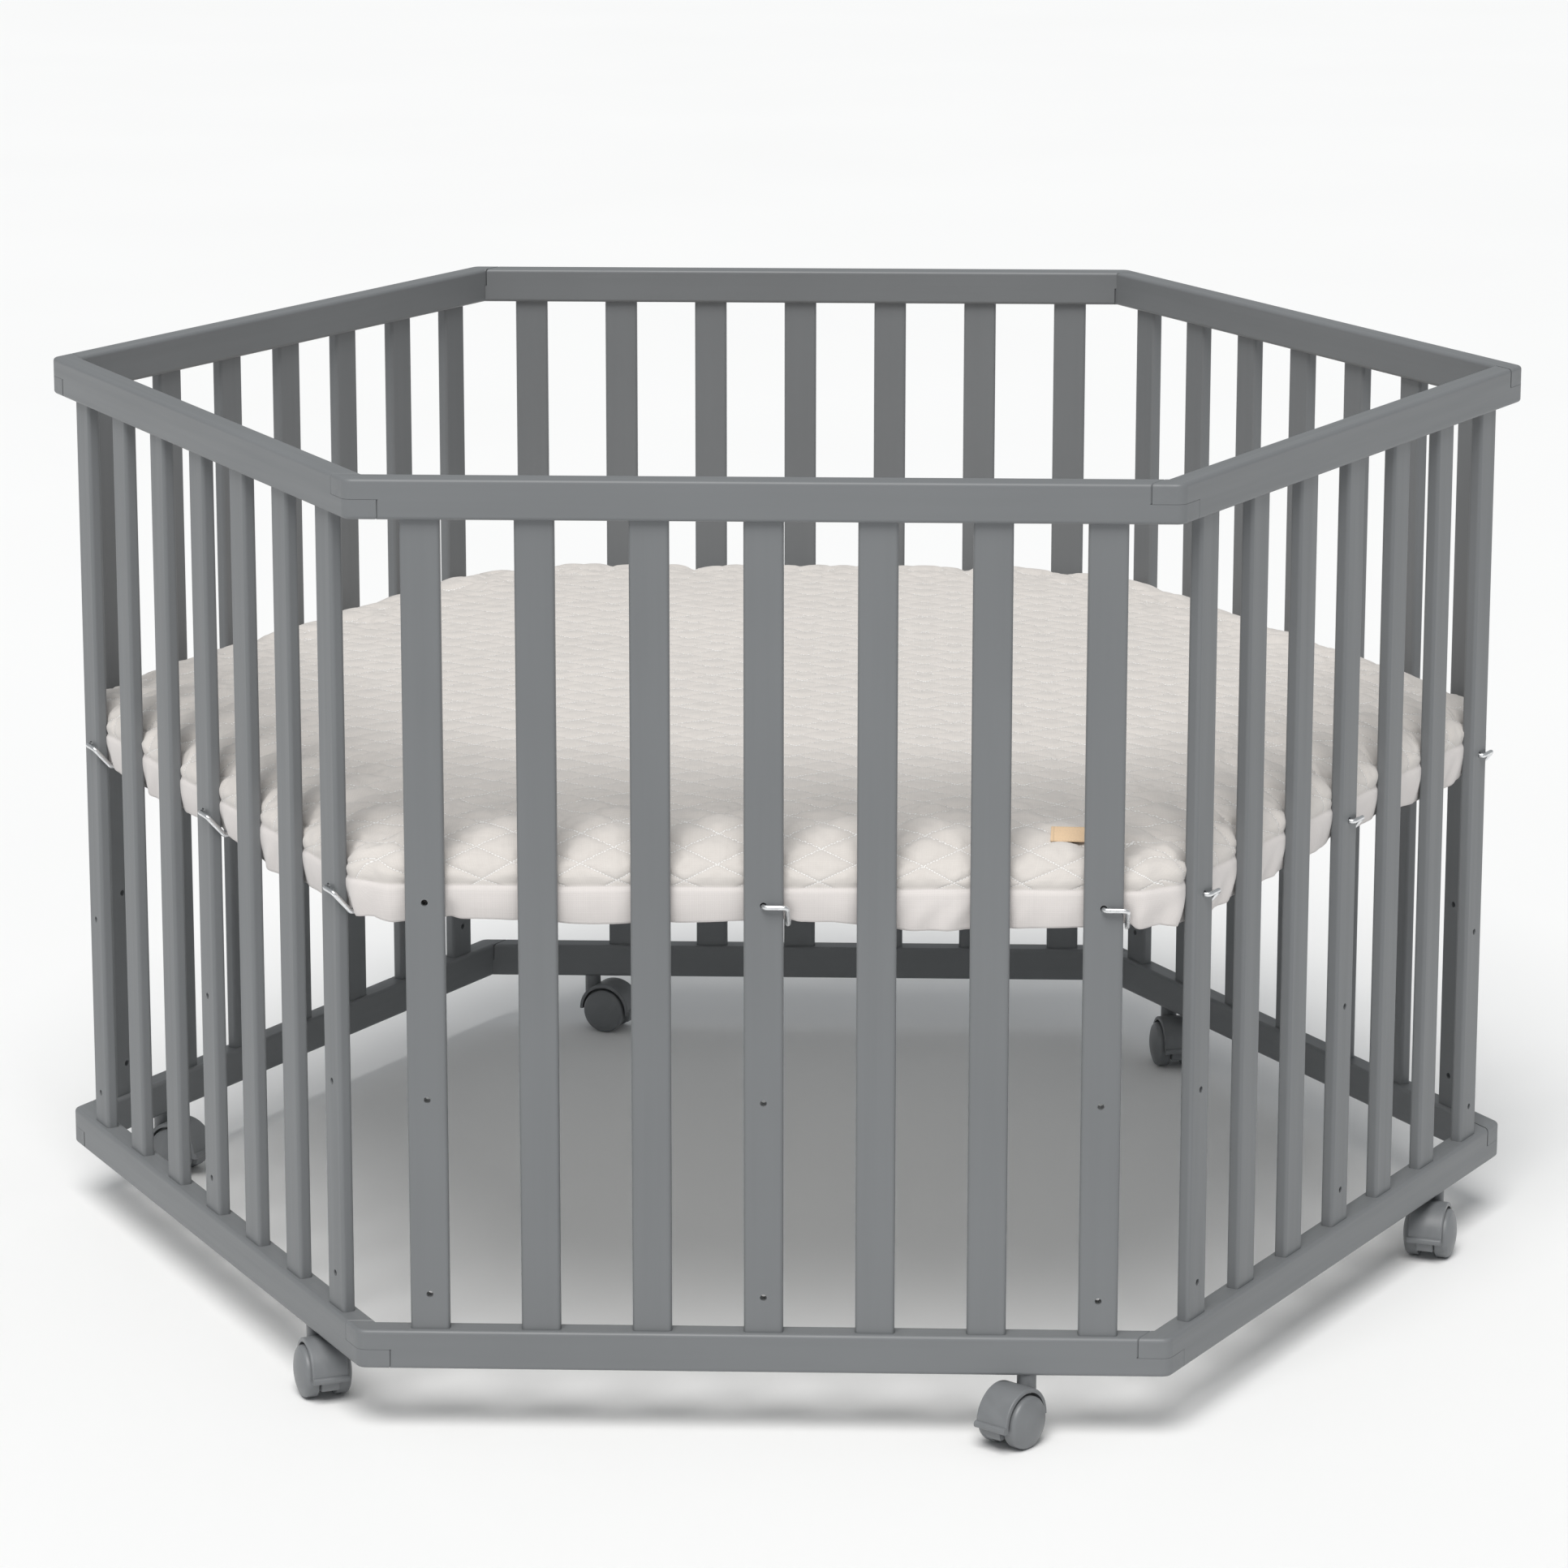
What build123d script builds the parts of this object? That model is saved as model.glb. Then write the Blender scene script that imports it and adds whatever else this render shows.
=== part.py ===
"""Six-sided playpen on castors, with a height-adjustable floor and a quilted mat.

Millimetres, +Z up.  The origin is on the ground under the middle of the pen, and the front panel
faces -Y.  Every panel is made once in its own place at the front and turned about Z to its side.
"""

from build123d import *
from math import cos, pi, radians, sin, sqrt
import os

# ---------------------------------------------------------------- driving dimensions
SIDE = 600.0             # length of one side, measured along its outer face
CASTOR_H = 51.0          # underside of the bottom rail above the ground
PEN_TOP = 723.0          # top of the top rail above the ground
RAIL_H = 30.0            # height of a rail
RAIL_T = 20.0            # thickness of a rail
RAIL_EDGE_R = 3.0        # rounding of a rail's long edges
RAIL_CORNER_R = 9.0      # rounding of the pen's upright corners, seen from above
LAP_GAP = 0.5            # upright line between a tongue's neighbour and the rail it stops at
LAP_SLIT = 0.2           # level line between two lapped tongues
LAP_EASE = 0.8           # eased edges of a rail's cut end

SLATS = 7                # slats in a panel
SLAT_W = 29.0
SLAT_T = 10.0
SLAT_PITCH = 82.3
SLAT_EDGE_R = 2.8
TENON = 10.0             # length of a slat inside each rail
MORTISE_GAP = 0.15       # glue line round a slat's end
HOLE_SLATS = (0, 3, 6)   # slats with hook holes, counted from the left seen from outside
HOLE_R = 2.5
HOLE_TOP = 408.0         # height of the top row of hook holes
HOLE_STEP = 150.0        # distance between the rows
HOLE_ROWS = 3

WIRE_R = 1.9             # hook wire
HOOK_DROP = 0.4          # the wire lies this far below the middle of its hole
HOOK_END = 13.4          # inner end of the wire in the hole, from the slat's outer face
HOOK_OUT = 3.5           # the wire passes this far outside the slat
HOOK_SIDE = 17.6         # and this far to its side
HOOK_IN = 10.0           # depth at which the wire turns level under the floor
HOOK_TIP = 38.0          # inner end of the hook
HOOK_LOW = 15.9          # the level leg runs this far below the wire in the hole
HOOK_BEND = 3.2          # bend radius at the wire's middle

BOARD_LOW = 394.0        # underside of the floor board
BOARD_T = 6.0
BOARD_GAP = 26.0         # board edge, from the outer face of the rails
BOARD_CORNER_R = 24.0
JOINER_W = 24.0
JOINER_T = 1.2
JOINER_SHORT = 4.0       # the joiner stops this far inside the board's edges
MAT_LOW = 401.6
MAT_TOP = 452.0
MAT_GAP = 19.6           # mat edge, from the outer face of the rails
MAT_CORNER_R = 34.0
MAT_EDGE_R = 12.0
LABEL_AT = (232.0, -477.0)
LABEL_SIZE = (46.0, 20.0, 0.8)

CASTOR_AT = 195.0        # castor, to the right of a panel's middle seen from outside
WHEEL_R = 20.0
WHEEL_IN = 6.9           # inner face of a wheel, from the castor's middle
WHEEL_TREAD = 16.9       # outer edge of the tread
WHEEL_OUT = 21.4         # crown of the domed cover
TRAIL = 18.0             # from the swivel axis to the axle
WEB_W = 13.0             # centre web between the wheels
WEB_LOW = 10.0
HOOD_W = 27.8
HOOD_IN_R = 22.2
HOOD_OUT_R = 25.4
HOOD_LIP = 2.4           # the front lip stands this far out of the hood
HOOD_LIP_H = 5.0
LIP_ROUND = 2.0
HOOD_ROUND = 1.2         # rounding of the hood's two side edges
HOOD_FRONT_LOW = -2.5    # front edge of the hood, from the axle
NECK_R = 7.25
NECK_GAP = 0.4           # between the neck and the rail above it
AXLE_R = 3.0
WHEEL_ROUND = 4.0        # tread into cover
WHEEL_INNER_ROUND = 1.0
AXLE_END = 15.5          # depth of a wheel's blind bore, from the castor's middle
PIN_R = 4.0
SLEEVE_R = 5.5
SLEEVE_H = 24.0
PIN_LOW = 24.0
PIN_PLAY = 1.0           # the hood's bore runs this far below the pin
PIN_HIGH = CASTOR_H + SLEEVE_H - 2
AXLE_PLAY = 0.5          # a wheel's bore runs this far beyond the axle
RUN_GAP = 0.05           # running clearance round axles and pins

APOTHEM = SIDE / 2 * sqrt(3)
RAIL_MID = APOTHEM - RAIL_T / 2
SLAT_OUT = APOTHEM - (RAIL_T - SLAT_T) / 2
RAIL_LOW_Z = {"top": PEN_TOP - RAIL_H, "bottom": CASTOR_H}

# Side name: (angle of the panel from the front, castor heading, hooks that are in place)
SIDES = {
    "front": (0, -128, (3, 6)),
    "front_right": (60, -107, HOLE_SLATS),
    "back_right": (120, -78, HOLE_SLATS),
    "back": (180, -23, HOLE_SLATS),
    "back_left": (240, -28, HOLE_SLATS),
    "front_left": (300, -68, HOLE_SLATS),
}

BOLT_R = 2.95
BOLT_HEAD_R = 4.8
BOLT_HEAD_H = 3.5
BOLT_HEAD_EASE = 1.0
BOLT_LENGTH = 19.0       # under the head
SOCKET_R = 2.3
SOCKET_H = 2.4
INSERT_R = 4.2
INSERT_BORE_R = 3.0
INSERT_H = 9.0
BOLT_HOLE_R = 3.3
COUNTERBORE_R = 5.3
COUNTERBORE_H = 4.0


def hexagon(apothem, low, high):
    """A six-sided prism with a flat side to the front."""
    face = make_face(Polyline(
        *[(apothem / cos(pi / 6) * cos(k * pi / 3), apothem / cos(pi / 6) * sin(k * pi / 3))
          for k in range(6)], close=True))
    return Pos(0, 0, low) * extrude(face, high - low)


def at_side(shape, angle):
    """Turn a piece made at the front panel to its own side."""
    return Rot(0, 0, angle) * shape


def upright_edges(shape):
    return shape.edges().filter_by(Axis.Z)


def beyond(limit, angle, inside):
    """A block of all that lies inside (or outside) a plane parallel to the front panel,
    turned by angle.  limit is the plane's distance from the middle of the pen."""
    reach = 2 * SIDE
    depth = reach if inside else RAIL_T * 4
    low = -limit if inside else -limit - depth
    block = Pos(-reach, low, -reach) * Box(2 * reach, depth, 2 * reach, align=(Align.MIN,) * 3)
    return Rot(0, 0, angle) * block


def ring(low):
    """All six rails of one level as one ring, rounded along its edges."""
    outer = hexagon(APOTHEM, low, low + RAIL_H)
    outer = fillet(upright_edges(outer), RAIL_CORNER_R)
    band = outer - hexagon(APOTHEM - RAIL_T, low - 1, low + RAIL_H + 1)
    level = band.faces().filter_by(Axis.Z)
    return fillet(level.edges(), RAIL_EDGE_R)


def lap_bolt_places():
    """The middle of the lap at the front panel's two ends, on the level of the ground."""
    radius = (APOTHEM - RAIL_T / 2) / cos(pi / 6)
    return [(radius * cos(radians(a)), radius * sin(radians(a))) for a in (-120, -60)]


def rail(level):
    """One rail at the front.  Seen from outside, its left end is the upper tongue of a half-lap
    and its right end the lower one, and each tongue runs out flush with its neighbour's face."""
    low = RAIL_LOW_Z[level]
    middle = low + RAIL_H / 2
    band = ring(low)
    strip = band & beyond(APOTHEM - RAIL_T, 0, False)
    reach = 2 * SIDE
    above = Pos(0, 0, middle) * Box(reach, reach, RAIL_H, align=(Align.CENTER, Align.CENTER, Align.MIN))
    below = Pos(0, 0, middle) * Box(reach, reach, RAIL_H, align=(Align.CENTER, Align.CENTER, Align.MAX))
    clear_of = APOTHEM - RAIL_T - LAP_GAP
    upper = eased_end(strip & above & beyond(clear_of, 60, True), 60)
    lower = eased_end(strip & below & beyond(clear_of, -60, True), -60)
    left, right = lap_bolt_places()
    seam = Pos(0, 0, middle) * Box(reach, reach, LAP_SLIT, align=(Align.CENTER, Align.CENTER, Align.MAX))
    body = upper + lower - (seam & beyond(clear_of, 60, False))
    slot_deep = TENON + MORTISE_GAP
    slot = Box(SLAT_W + 2 * MORTISE_GAP, SLAT_T + 2 * MORTISE_GAP, slot_deep,
               align=(Align.CENTER, Align.CENTER, Align.MIN))
    slot = fillet(upright_edges(slot), SLAT_EDGE_R)
    slot_z = low if level == "top" else low + RAIL_H - slot_deep
    for x in slat_places():
        body -= Pos(x, -RAIL_MID, slot_z) * slot
    # The left, upper tongue takes the threaded insert; the right, lower tongue the bolt.
    body -= Pos(left[0], left[1], middle) * Cylinder(
        INSERT_R, INSERT_H, align=(Align.CENTER, Align.CENTER, Align.MIN))
    body -= Pos(right[0], right[1], low) * Cylinder(
        BOLT_HOLE_R, RAIL_H, align=(Align.CENTER, Align.CENTER, Align.MIN))
    body -= Pos(right[0], right[1], low) * Cylinder(
        COUNTERBORE_R, COUNTERBORE_H, align=(Align.CENTER, Align.CENTER, Align.MIN))
    if level == "bottom":
        body -= Pos(CASTOR_AT, -RAIL_MID, low) * Cylinder(
            SLEEVE_R, SLEEVE_H, align=(Align.CENTER, Align.CENTER, Align.MIN))
    return body


def eased_end(half, angle):
    """Take the sharp edges off the end of half a rail that stops at its neighbour."""
    outward = Vector(sin(radians(angle)), -cos(radians(angle)), 0)
    end = [f for f in half.faces() if f.normal_at().dot(outward) > 0.999]
    return chamfer(end[0].edges(), LAP_EASE)


def slat_places():
    """Middles of the slats along the front panel, from the left seen from outside."""
    return [(i - (SLATS - 1) / 2) * SLAT_PITCH for i in range(SLATS)]


def slats():
    """The seven upright slats of the front panel, with the rows of hook holes."""
    low = RAIL_LOW_Z["bottom"] + RAIL_H - TENON
    high = RAIL_LOW_Z["top"] + TENON
    plain = fillet(upright_edges(Box(SLAT_W, SLAT_T, high - low,
                                     align=(Align.CENTER, Align.CENTER, Align.MIN))), SLAT_EDGE_R)
    plain = Pos(0, -RAIL_MID, low) * plain
    holed = plain
    for row in range(HOLE_ROWS):
        z = HOLE_TOP - row * HOLE_STEP
        holed -= Pos(0, -RAIL_MID, z) * Rot(90, 0, 0) * Cylinder(HOLE_R, SLAT_T * 2)
    return [Pos(x, 0, 0) * (holed if i in HOLE_SLATS else plain) for i, x in enumerate(slat_places())]


def hook():
    """One floor hook at the front panel's middle slat: through the hole, round the slat's edge
    on the outside, and back inwards at a slant to a level leg that carries the floor."""
    z = HOLE_TOP - HOOK_DROP
    low = z - HOOK_LOW
    out = -SLAT_OUT
    route = FilletPolyline(
        (0, out + HOOK_END, z),
        (0, out - HOOK_OUT, z),
        (HOOK_SIDE, out - HOOK_OUT, z),
        (HOOK_SIDE, out + HOOK_IN, low),
        (HOOK_SIDE, out + HOOK_TIP, low),
        radius=HOOK_BEND)
    start = Plane(origin=(0, out + HOOK_END, z), z_dir=(0, -1, 0))
    return sweep(start * Circle(WIRE_R), path=route, transition=Transition.ROUND)


def floor_board():
    """The two halves of the board, meeting in the joiner's web."""
    board = hexagon(APOTHEM - BOARD_GAP, BOARD_LOW, BOARD_LOW + BOARD_T)
    board = fillet(upright_edges(board), BOARD_CORNER_R)
    half = SIDE * 2
    cut = Box(half, half * 2, half * 2, align=(Align.MIN, Align.CENTER, Align.CENTER))
    right = board & (Pos(JOINER_T / 2, 0, 0) * cut)
    return mirror(right, about=Plane.YZ), right


def floor_joiner():
    """H-section strip between the board's halves, running front to back."""
    length = 2 * (APOTHEM - BOARD_GAP - JOINER_SHORT)
    high = BOARD_T + 2 * JOINER_T
    middle = BOARD_LOW + BOARD_T / 2
    bar = Box(JOINER_W, length, high)
    side = (JOINER_W - JOINER_T) / 2
    for x in (-1, 1):
        bar -= Pos(x * (JOINER_T + side) / 2, 0, 0) * Box(side, length, BOARD_T)
    return Pos(0, 0, middle) * bar


def mat():
    slab = hexagon(APOTHEM - MAT_GAP, MAT_LOW, MAT_TOP)
    slab = fillet(upright_edges(slab), MAT_CORNER_R)
    return fillet(slab.faces().sort_by(Axis.Z)[-1].edges(), MAT_EDGE_R)


def mat_label():
    return Pos(LABEL_AT[0], LABEL_AT[1], MAT_TOP + LABEL_SIZE[2] / 2) * Box(*LABEL_SIZE)


def castor_place(angle):
    """Foot of a castor's swivel axis, on the ground."""
    a = radians(angle)
    x, y = CASTOR_AT, -RAIL_MID
    return x * cos(a) - y * sin(a), x * sin(a) + y * cos(a)


def castor():
    """One castor with its swivel axis on Z and its axle towards +X: hood, axle, left wheel and
    right wheel."""
    axle_z = WHEEL_R
    sideways = Rot(90, 0, 0)
    at_axle = Pos(TRAIL, 0, axle_z)
    block = 4 * WHEEL_R
    tube = Cylinder(HOOD_OUT_R, HOOD_W)
    tube = fillet(tube.edges(), HOOD_ROUND) - Cylinder(HOOD_IN_R, HOOD_W)
    shell = at_axle * sideways * tube
    front = Box(block, block, block, align=(Align.MIN, Align.CENTER, Align.MIN))
    rear = Box(block, block, block, align=(Align.MAX, Align.CENTER, Align.MIN))
    shell = shell & (Pos(TRAIL, 0, axle_z + HOOD_FRONT_LOW) * front + at_axle * rear)
    lip_in = (HOOD_IN_R + HOOD_OUT_R) / 2
    lip = Box(HOOD_OUT_R + HOOD_LIP - lip_in, HOOD_W, HOOD_LIP_H,
              align=(Align.MIN, Align.CENTER, Align.MIN))
    lip = fillet(lip.edges().filter_by(Axis.Y).group_by(Axis.X)[-1], LIP_ROUND)
    lip = Pos(TRAIL + lip_in, 0, axle_z + HOOD_FRONT_LOW) * lip
    disc = at_axle * sideways * Cylinder(lip_in, WEB_W)
    over = Box(block, block, block, align=(Align.CENTER, Align.CENTER, Align.MIN))
    web = disc & (Pos(TRAIL, 0, WEB_LOW) * over)
    neck_low = axle_z
    neck_high = CASTOR_H - NECK_GAP
    neck = Pos(0, 0, neck_low) * Cylinder(NECK_R, neck_high - neck_low,
                                          align=(Align.CENTER, Align.CENTER, Align.MIN))
    wheel_room = at_axle * sideways * (Cylinder(HOOD_IN_R, block) - Cylinder(lip_in, WEB_W))
    hood = shell + lip + web + (neck - wheel_room)
    hood -= Pos(0, 0, PIN_LOW - PIN_PLAY) * Cylinder(
        PIN_R + RUN_GAP, block, align=(Align.CENTER, Align.CENTER, Align.MIN))
    hood -= at_axle * sideways * Cylinder(AXLE_R, block)
    axle_half = AXLE_END - AXLE_PLAY
    axle = at_axle * sideways * Cylinder(AXLE_R, 2 * axle_half)
    return hood, axle, at_axle * wheel(-1), at_axle * wheel(1)


def wheel(side):
    """A wheel about the Y axis, on the +Y or -Y side: flat inside, a straight tread that rounds
    into a shallow domed cover, and a blind bore for the axle."""
    dome_rise = WHEEL_OUT - WHEEL_TREAD
    ball_r = (WHEEL_R ** 2 + dome_rise ** 2) / (2 * dome_rise)
    half_r = WHEEL_R / 2
    half_y = WHEEL_OUT - ball_r + sqrt(ball_r ** 2 - half_r ** 2)
    bore_r = AXLE_R + RUN_GAP
    with BuildPart() as part:
        with BuildSketch(Plane.XY) as profile:
            with BuildLine():
                Polyline((bore_r, WHEEL_IN), (WHEEL_R, WHEEL_IN), (WHEEL_R, WHEEL_TREAD))
                ThreePointArc((WHEEL_R, WHEEL_TREAD), (half_r, half_y), (0, WHEEL_OUT))
                Polyline((0, WHEEL_OUT), (0, AXLE_END), (bore_r, AXLE_END), (bore_r, WHEEL_IN))
            make_face()
            rim = profile.vertices().group_by(Axis.X)[-1].sort_by(Axis.Y)
            fillet(rim[0], WHEEL_INNER_ROUND)
            rim = profile.vertices().sort_by_distance((WHEEL_R, WHEEL_TREAD))
            fillet(rim[0], WHEEL_ROUND)
        revolve(axis=Axis.Y)
    return part.part if side > 0 else mirror(part.part, about=Plane.XZ)


def castor_pin():
    return Pos(0, 0, PIN_LOW) * Cylinder(PIN_R, PIN_HIGH - PIN_LOW,
                                         align=(Align.CENTER, Align.CENTER, Align.MIN))


def castor_sleeve():
    """Sleeve pressed into the bottom rail, closed round the castor's pin."""
    sleeve = Cylinder(SLEEVE_R, SLEEVE_H, align=(Align.CENTER, Align.CENTER, Align.MIN))
    sleeve -= Cylinder(PIN_R, PIN_HIGH - CASTOR_H, align=(Align.CENTER, Align.CENTER, Align.MIN))
    return Pos(0, 0, CASTOR_H) * sleeve


def corner_bolt(low):
    """Button-head bolt, from below, with a hexagon socket."""
    head_low = low + COUNTERBORE_H - BOLT_HEAD_H
    head = Pos(0, 0, head_low) * Cylinder(BOLT_HEAD_R, BOLT_HEAD_H,
                                          align=(Align.CENTER, Align.CENTER, Align.MIN))
    head = chamfer(head.edges().filter_by(GeomType.CIRCLE).sort_by(Axis.Z)[0], BOLT_HEAD_EASE)
    socket = Pos(0, 0, head_low) * extrude(RegularPolygon(SOCKET_R, 6), SOCKET_H)
    shank = Pos(0, 0, head_low + BOLT_HEAD_H) * Cylinder(
        BOLT_R, BOLT_LENGTH, align=(Align.CENTER, Align.CENTER, Align.MIN))
    return head + shank - socket


def corner_insert(low):
    tube = Cylinder(INSERT_R, INSERT_H, align=(Align.CENTER, Align.CENTER, Align.MIN))
    tube -= Cylinder(INSERT_BORE_R, INSERT_H, align=(Align.CENTER, Align.CENTER, Align.MIN))
    return Pos(0, 0, low + RAIL_H / 2) * tube


def write(name, solids):
    """One STEP file for each named piece."""
    shape = solids[0] if len(solids) == 1 else Compound(children=list(solids))
    shape.label = name
    export_step(shape, f"parts/{name}.step")


def main():
    os.makedirs("parts", exist_ok=True)
    rails = {level: rail(level) for level in RAIL_LOW_Z}
    panel_slats = slats()
    one_hook = hook()
    hood, axle, wheel_right, wheel_left = castor()
    pins, sleeves, bolts, inserts = [], [], [], []
    for side, (angle, heading, hooked) in SIDES.items():
        write(f"top_rail_{side}", [at_side(rails["top"], angle)])
        write(f"bottom_rail_{side}", [at_side(rails["bottom"], angle)])
        write(f"slats_{side}", [at_side(slat, angle) for slat in panel_slats])
        write(f"hooks_{side}", [at_side(Pos(slat_places()[i], 0, 0) * one_hook, angle) for i in hooked])
        x, y = castor_place(angle)
        for piece, shape in (("hood", hood), ("axle", axle), ("wheel_left", wheel_left),
                             ("wheel_right", wheel_right)):
            write(f"castor_{piece}_{side}", [Pos(x, y, 0) * Rot(0, 0, heading) * shape])
        pins.append(Pos(x, y, 0) * castor_pin())
        sleeves.append(Pos(x, y, 0) * castor_sleeve())
        for low in RAIL_LOW_Z.values():
            place = lap_bolt_places()[1]
            bolts.append(at_side(Pos(place[0], place[1], 0) * corner_bolt(low), angle))
            inserts.append(at_side(Pos(place[0], place[1], 0) * corner_insert(low), angle))
    left, right = floor_board()
    write("castor_pins", pins)
    write("castor_sleeves", sleeves)
    write("corner_bolts", bolts)
    write("corner_inserts", inserts)
    write("floor_board_left", [left])
    write("floor_board_right", [right])
    write("floor_joiner", [floor_joiner()])
    write("mat", [mat()])
    write("mat_label", [mat_label()])


main()
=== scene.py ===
"""Six-sided playpen: painted wood, bright wire hooks, moulded castors and a quilted linen mat.

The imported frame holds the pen's hard pieces and its joints.  This script gives those pieces their
finishes, makes the soft mat and its label, and sets up a plain studio.  Metres, +Z up, the front
side of the pen faces -Y.
"""

from math import cos, hypot, pi, radians, sin, tan

import bpy
import numpy as np
from bpy.props import FloatProperty, FloatVectorProperty, PointerProperty
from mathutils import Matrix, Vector, noise


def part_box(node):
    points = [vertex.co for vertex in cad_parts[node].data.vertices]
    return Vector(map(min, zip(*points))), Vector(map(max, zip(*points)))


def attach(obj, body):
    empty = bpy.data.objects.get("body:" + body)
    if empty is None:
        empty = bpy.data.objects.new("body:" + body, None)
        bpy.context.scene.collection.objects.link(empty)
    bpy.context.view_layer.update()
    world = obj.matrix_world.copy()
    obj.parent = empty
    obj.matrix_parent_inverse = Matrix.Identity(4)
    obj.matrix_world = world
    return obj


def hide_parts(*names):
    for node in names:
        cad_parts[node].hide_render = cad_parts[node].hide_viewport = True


bl_info = {
    "name": "Quilted Playpen",
    "version": (1, 0, 0),
    "blender": (4, 5, 0),
    "location": "View3D > Sidebar > Playpen",
    "description": "Finishes, quilted mat and studio for a six-sided playpen",
    "category": "Object",
}

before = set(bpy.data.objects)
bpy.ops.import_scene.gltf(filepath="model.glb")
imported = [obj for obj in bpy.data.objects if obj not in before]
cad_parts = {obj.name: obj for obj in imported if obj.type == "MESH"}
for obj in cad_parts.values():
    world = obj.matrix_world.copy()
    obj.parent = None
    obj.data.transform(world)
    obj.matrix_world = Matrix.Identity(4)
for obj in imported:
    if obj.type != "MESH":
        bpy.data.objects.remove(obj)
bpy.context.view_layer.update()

SIDES = ("front", "front_right", "back_right", "back", "back_left", "front_left")
SIXTH = pi / 3
APOTHEM = -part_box("top_rail_front")[0].y       # middle of the pen to a rail's outer face
SLAT_INNER = APOTHEM - 0.015                   # the same to a slat's inner face
BOARD_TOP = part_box("floor_board_left")[1].z
MAT_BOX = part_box("mat")


# ------------------------------------------------------------------ sizes and colours to change
class PlaypenColours(bpy.types.PropertyGroup):
    """Colours of the pen's finishes"""

    paint: FloatVectorProperty(
        name="Paint", description="Grey paint on the wood", subtype="COLOR",
        default=(0.174, 0.182, 0.189), min=0, max=1)
    plastic: FloatVectorProperty(
        name="Castor plastic", description="Moulded plastic of hoods and wheels", subtype="COLOR",
        default=(0.180, 0.188, 0.196), min=0, max=1)
    zinc: FloatVectorProperty(
        name="Zinc", description="Bright plating on the wire hooks", subtype="COLOR",
        default=(0.83, 0.84, 0.85), min=0, max=1)
    linen: FloatVectorProperty(
        name="Linen", description="Quilted top of the mat", subtype="COLOR",
        default=(0.672, 0.634, 0.600), min=0, max=1)
    band: FloatVectorProperty(
        name="Side band", description="Plain band round the mat", subtype="COLOR",
        default=(0.712, 0.672, 0.652), min=0, max=1)
    thread: FloatVectorProperty(
        name="Thread", description="Quilting thread", subtype="COLOR",
        default=(0.93, 0.92, 0.90), min=0, max=1)
    label: FloatVectorProperty(
        name="Label", description="Tan label on the mat", subtype="COLOR",
        default=(0.77, 0.56, 0.36), min=0, max=1)


class PlaypenMat(bpy.types.PropertyGroup):
    """Sizes of the quilted mat"""

    cell_width: FloatProperty(
        name="Cell width", description="Width of a quilted diamond", default=0.050,
        min=0.01, unit="LENGTH")
    cell_depth: FloatProperty(
        name="Cell depth", description="Front-to-back size of a quilted diamond", default=0.031,
        min=0.01, unit="LENGTH")
    puff: FloatProperty(
        name="Puff", description="Height of a diamond's middle above its stitches", default=0.0019,
        min=0, unit="LENGTH")
    crown: FloatProperty(
        name="Crown", description="Rise of the mat's middle above its shoulders", default=0.008,
        min=0, unit="LENGTH")
    slat_pitch: FloatProperty(
        name="Slat pitch", description="Distance between the slats that press on the mat",
        default=0.0823, min=0.01, unit="LENGTH")


class PlaypenStudio(bpy.types.PropertyGroup):
    """Camera and lights"""

    focal_length: FloatProperty(
        name="Focal length", description="Camera lens, in millimetres on a 36 mm sensor",
        default=113.74, min=20)
    key: FloatProperty(
        name="Key light", description="Strength of the soft light from above the front",
        default=2.65, min=0)
    surround: FloatProperty(
        name="Surround", description="Strength of the white studio round the pen", default=0.40, min=0)


# ------------------------------------------------------------------ small helpers
def smooth(low, high, x):
    """0 below low, 1 above high and an even bend between; works on numbers and arrays."""
    t = np.clip((x - low) / (high - low), 0, 1)
    return t * t * (3 - 2 * t)


def deselect():
    """Leave edit mode and select nothing."""
    if bpy.context.mode != "OBJECT":
        bpy.ops.object.mode_set(mode="OBJECT")
    bpy.ops.object.select_all(action="DESELECT")


def make_current(piece):
    """Select this piece alone and make it the active one."""
    deselect()
    piece.select_set(True)
    bpy.context.view_layer.objects.active = piece


def new_mesh(name, points, faces):
    """A mesh object from an array of points and a list of faces."""
    mesh = bpy.data.meshes.new(name)
    mesh.from_pydata([tuple(p) for p in points], [], faces)
    mesh.update()
    piece = bpy.data.objects.new(name, mesh)
    bpy.context.collection.objects.link(piece)
    return piece


def read_points(mesh, normals=False):
    """Every point of a mesh, or the way it faces there, as an array."""
    flat = np.empty(len(mesh.vertices) * 3)
    if normals:
        mesh.vertex_normals.foreach_get("vector", flat)
    else:
        mesh.vertices.foreach_get("co", flat)
    return flat.reshape(-1, 3)


def write_points(mesh, points):
    """Move every point of a mesh to its place in the array."""
    mesh.vertices.foreach_set("co", np.ascontiguousarray(points).reshape(-1))
    mesh.update()


def give(piece, *materials):
    """The piece's whole list of materials."""
    piece.data.materials.clear()
    for material in materials:
        piece.data.materials.append(material)


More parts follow.
